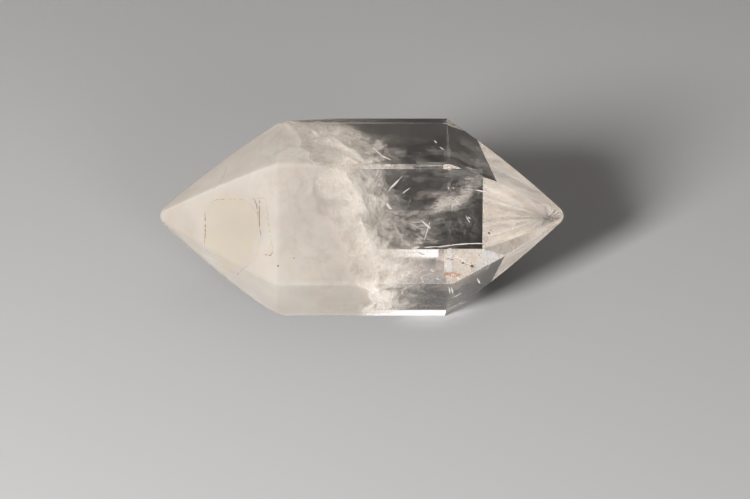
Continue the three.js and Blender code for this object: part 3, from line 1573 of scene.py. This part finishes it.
@dataclass
class IronGrains:
    """Brown grains and a reddish streak low in the clear part, and a few grains in the milk."""

    viewpoint: Viewpoint
    grain: InclusionAndGlintFinish = InclusionAndGlintFinish(
        "brown_grain", (0.05, 0.025, 0.012, 1.0), (0.14, 0.07, 0.03, 1.0), 4000.0
    )
    rust: InclusionAndGlintFinish = InclusionAndGlintFinish(
        "rusty_streak", (0.4, 0.17, 0.09, 1.0), (0.58, 0.34, 0.23, 1.0), 1100.0, cover=0.75, breaks=0.36
    )
    grains: tuple[SpeckPlan, ...] = (
        SpeckPlan((472, 266), 0.55 * MM, 1.6 * MM),
        SpeckPlan((463, 263), 0.4 * MM, 1.9 * MM),
        SpeckPlan((466, 265), 0.25 * MM, 1.9 * MM),
        SpeckPlan((460, 261), 0.2 * MM, 2.0 * MM),
        SpeckPlan((448, 258.5), 0.25 * MM, 1.5 * MM),
        SpeckPlan((451, 259.5), 0.2 * MM, 1.6 * MM),
        SpeckPlan((489, 233), 0.45 * MM, 1.5 * MM),
        SpeckPlan((491, 230.5), 0.25 * MM, 1.5 * MM),
        SpeckPlan((502, 218), 0.25 * MM, 1.5 * MM),
        SpeckPlan((379, 267), 0.2 * MM, 0.6 * MM),
        SpeckPlan((418, 282), 0.2 * MM, 0.6 * MM),
        SpeckPlan((278, 266), 0.3 * MM, 0.25 * MM),
        SpeckPlan((294, 258), 0.2 * MM, 0.25 * MM),
        SpeckPlan((292, 153), 0.16 * MM, 0.25 * MM),
        SpeckPlan((237.6, 274), 0.25 * MM, 0.25 * MM),
    )
    streaks: tuple[LinePlan, ...] = (
        LinePlan(((444, 274), (449, 273.5), (455, 275.5), (461, 274)), 1.0 * MM),
        LinePlan(((446, 258), (450, 259), (454, 260.5)), 0.2 * MM),
    )
    stretch: tuple[float, float, float] = (1.5, 0.7, 0.9)
    bumps: float = 0.14
    streak_depth: float = 1.2 * MM

    def build(self, crystal: Object) -> list[Object]:
        """Models the grains and draws the streaks.

        Args:
            crystal: The clear crystal.

        Returns:
            The grains and streaks, riding on the root body.
        """
        material = self.grain.material()
        rng = np.random.default_rng(SEED + 2)
        made = []
        for index, plan in enumerate(self.grains):
            place = self.viewpoint.inside(crystal, plan.pixel, plan.depth)
            clear_selection()
            bpy.ops.mesh.primitive_ico_sphere_add(subdivisions=2, radius=plan.size / 2, location=place)
            piece = Workpiece(f"brown_grain_{index + 1:02d}")
            bpy.ops.mesh.select_all(action="SELECT")
            bpy.ops.transform.resize(value=self.stretch, center_override=place)
            piece.move_points(
                lambda smooth: smooth + Vector(rng.uniform(-self.bumps, self.bumps, 3)) * plan.size
            )
            made.append(piece.finish(material))
        pen = LinePen(self.viewpoint, crystal, self.rust.material(), self.streak_depth)
        made += [pen.draw(f"rusty_streak_{index + 1}", plan) for index, plan in enumerate(self.streaks)]
        return made


class LightReach(Enum):
    """What a soft light does: what it falls on, or where it shows."""

    ROOM = "on the floor and the stone's skin"
    INSIDE = "on what is inside the stone, straight through the skin"
    WINDOW = "shows through the clear part, and nowhere else"
    SHEEN = "shows as a reflection on the skin, and nowhere else"


@dataclass(frozen=True)
class SoftLight:
    """A square soft light, by what it does and its direction, distance, size and power."""

    name: str
    reach: LightReach
    azimuth: float
    elevation: float
    distance: float
    size: float
    power: float


@dataclass
class Studio:
    """Floor, soft lights and camera.

    The stone's skin casts a plain shadow in the room. Lights of their own reach the pieces inside it,
    straight through the skin, and small panes stand for what the room's lights show as.
    """

    form: StoneForm
    viewpoint: Viewpoint
    floor_finish: PlainMatt = PlainMatt("pale_floor", (0.55, 0.54, 0.53, 1.0), 0.9)
    floor_size: float = 6.0
    floor_level: float = -0.03 * MM
    room_colour: Colour = (1.0, 0.93, 0.87, 1.0)
    room_glow: float = 0.09
    glow_middle: tuple[float, float] = (13.5 * MM, -7 * MM)
    glow_radius: float = 12 * MM
    glow_height: float = 0.6
    glow_softness: float = 5 * MM
    glow_blend: float = 0.5
    glow_power: float = 9.5
    lights: tuple[SoftLight, ...] = (
        SoftLight("key_light_room", LightReach.ROOM, -38, 24, 0.9, 0.24, 13.0),
        SoftLight("key_light_inside", LightReach.INSIDE, -38, 24, 0.9, 0.24, 4.1),
        SoftLight("key_sheen", LightReach.SHEEN, -38, 24, 0.9, 0.24, 0.9),
        SoftLight("fill_light_room", LightReach.ROOM, 22, 13, 1.0, 0.36, 3.5),
        SoftLight("fill_light_inside", LightReach.INSIDE, 22, 13, 1.0, 0.36, 3.2),
        SoftLight("fill_sheen", LightReach.SHEEN, 22, 13, 1.0, 0.36, 1.4),
        SoftLight("back_light_room", LightReach.ROOM, 180, 54, 1.2, 0.5, 0.4),
        SoftLight("back_light_inside", LightReach.INSIDE, 180, 54, 1.2, 0.5, 5.4),
        SoftLight("back_sheen", LightReach.SHEEN, 180, 54, 1.2, 0.5, 2.0),
        SoftLight("side_light_inside", LightReach.INSIDE, -100, 25, 0.9, 0.4, 2.6),
        SoftLight("end_light_inside", LightReach.INSIDE, 100, 4, 0.9, 0.4, 9.5),
        SoftLight("floor_bounce_inside", LightReach.INSIDE, 0, -35, 0.5, 0.6, 4.8),
        SoftLight("window_behind", LightReach.WINDOW, 180, 31, 1.0, 0.2, 0.15),
        SoftLight("window_beside", LightReach.WINDOW, -57, 21, 1.2, 0.3, 0.21),
        SoftLight("window_above", LightReach.WINDOW, -66, 51, 1.0, 0.24, 0.12),
    )

    def build(self, crystal: Object, inside: Sequence[Object]) -> None:
        """Lays the floor, hangs the lights and sets the camera.

        Args:
            crystal: The stone's clear skin.
            inside: The pieces inside the stone.
        """
        floor = self._lay_floor()
        milky = gather("inside_the_stone", inside)
        skin = gather("skin", (crystal,))
        lit = {
            LightReach.ROOM: gather("skin_and_floor", (floor, crystal)),
            LightReach.INSIDE: milky,
            LightReach.WINDOW: skin,
            LightReach.SHEEN: skin,
        }
        self._fill_room()
        for soft in self.lights:
            light = self._hang(soft, lit[soft.reach])
            if soft.reach is LightReach.INSIDE:
                light.light_linking.blocker_collection = milky
        self._add_glow(gather("floor_alone", (floor,)), milky)
        self._add_camera()
        scene = bpy.context.scene
        scene.view_settings.view_transform = "Standard"
        scene.cycles.caustics_reflective = False
        scene.cycles.caustics_refractive = False
        scene.cycles.glossy_bounces = 12
        scene.cycles.transmission_bounces = 16
        scene.cycles.max_bounces = 24
        scene.cycles.transparent_max_bounces = 32

    def _lay_floor(self) -> Object:
        """Lays the floor.

        Returns:
            The floor, which is stage and not part of the object.
        """
        clear_selection()
        bpy.ops.mesh.primitive_plane_add(size=self.floor_size, location=(0.0, 0.0, self.floor_level))
        bpy.ops.object.transform_apply(location=True)
        floor = bpy.context.active_object
        floor.name = "floor"
        floor.data.materials.append(self.floor_finish.material())
        return floor

    def _fill_room(self) -> None:
        """Fills the room with dim even light."""
        world = bpy.data.worlds.new("studio_room")
        bpy.context.scene.world = world
        world.use_nodes = True
        background = world.node_tree.nodes["Background"]
        background.inputs["Color"].default_value = self.room_colour
        background.inputs["Strength"].default_value = self.room_glow

    def _hang(self, soft: SoftLight, lit: Collection) -> Object:
        """Hangs a soft light that faces the stone.

        Args:
            soft: The light.
            lit: The pieces that it falls on.

        Returns:
            The light's object.
        """
        data = bpy.data.lights.new(soft.name, "AREA")
        data.size = soft.size
        data.energy = soft.power
        direction = towards(soft.azimuth, soft.elevation)
        light = bpy.data.objects.new(soft.name, data)
        light.location = self.form.axis_place() + direction * soft.distance
        light.rotation_euler = direction.to_track_quat("Z", "Y").to_euler()
        bpy.context.scene.collection.objects.link(light)
        light.light_linking.receiver_collection = lit
        light.visible_camera = False
        light.visible_glossy = soft.reach is LightReach.SHEEN
        light.visible_transmission = soft.reach is LightReach.WINDOW
        return light

    def _add_glow(self, floor: Collection, milky: Collection) -> None:
        """Lights the floor under the clear end, as light that comes down through the stone does.

        Args:
            floor: The floor, which alone is lit.
            milky: The pieces inside the stone, which alone cast a shadow.
        """
        data = bpy.data.lights.new("glow_through_the_stone", "SPOT")
        data.energy = self.glow_power
        data.spot_size = 2 * math.atan(self.glow_radius / self.glow_height)
        data.spot_blend = self.glow_blend
        data.shadow_soft_size = self.glow_softness
        glow = bpy.data.objects.new("glow_through_the_stone", data)
        glow.location = (*self.glow_middle, self.glow_height)
        bpy.context.scene.collection.objects.link(glow)
        glow.light_linking.receiver_collection = floor
        glow.light_linking.blocker_collection = milky
        glow.visible_glossy = False
        glow.visible_transmission = False

    def _add_camera(self) -> None:
        """Stands the camera at the photograph's angle, framing the stone as it is framed there."""
        data = bpy.data.cameras.new("camera")
        data.lens = self.viewpoint.lens
        data.sensor_width = self.viewpoint.sensor
        camera = bpy.data.objects.new("camera", data)
        camera.location = self.viewpoint.camera_place()
        camera.rotation_euler = self.viewpoint.back.to_track_quat("Z", "Y").to_euler()
        bpy.context.scene.collection.objects.link(camera)
        bpy.context.scene.camera = camera


def gather(name: str, pieces: Sequence[Object]) -> Collection:
    """Gathers pieces for a light to fall on or be stopped by.

    Args:
        name: The collection's name.
        pieces: The pieces.

    Returns:
        The collection.
    """
    group = bpy.data.collections.new(name)
    for piece in pieces:
        group.objects.link(piece)
    return group


def main() -> None:
    """Builds the stone, what shows inside it, and the studio."""
    logging.basicConfig(level=logging.INFO, format="%(name)s: %(message)s")
    form = StoneForm()
    edge = CloudEdge(form)
    viewpoint = Viewpoint()
    crystal = CrystalBody(form).build()
    core = MilkyCore(edge, viewpoint)
    inside = [
        core.build(crystal),
        *CloudShells(edge).build(crystal),
        *Haze(edge, core).build(),
        *Veils(edge, viewpoint).build(crystal),
        *Glints(viewpoint).build(crystal),
        *HealedFracture(viewpoint).build(crystal),
        *IronGrains(viewpoint).build(crystal),
    ]
    for piece in (crystal, *inside):
        log.info("%s: %d faces", piece.name, len(piece.data.polygons))
    Studio(form, viewpoint).build(crystal, inside)


if __name__ == "__main__":
    main()
